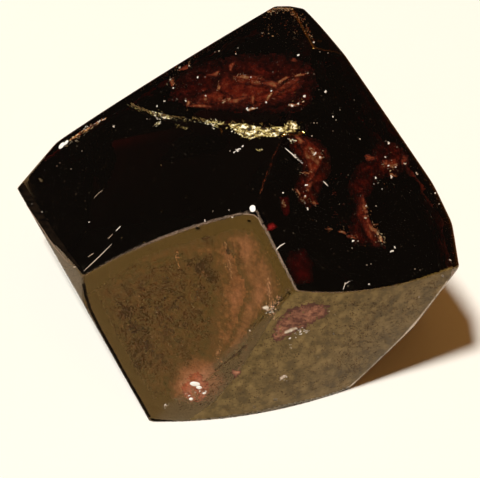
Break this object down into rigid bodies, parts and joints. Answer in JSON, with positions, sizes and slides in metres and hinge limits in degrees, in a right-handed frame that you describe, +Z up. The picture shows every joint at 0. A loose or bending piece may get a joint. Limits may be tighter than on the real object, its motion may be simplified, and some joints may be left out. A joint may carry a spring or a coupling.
{
  "type": "polished garnet crystal",
  "caption": "Loose polished garnet crystal, a blocky many-faceted stone in dark see-through red, resting on a flat face.",
  "frame": {"origin": "on the surface that the stone rests on, under the centre of its bounding box", "axes": "+Z up, -Y towards the two large front faces that meet in the forward edge, +X to the right along the stone's greatest width"},
  "size_m": [0.026, 0.0194, 0.0226],
  "materials": {
    "garnet": "polished, see-through deep red that looks nearly black where it is thick"
  },
  "bodies": {
    "root": {"garnet_crystal": "garnet"}
  },
  "joints": []
}
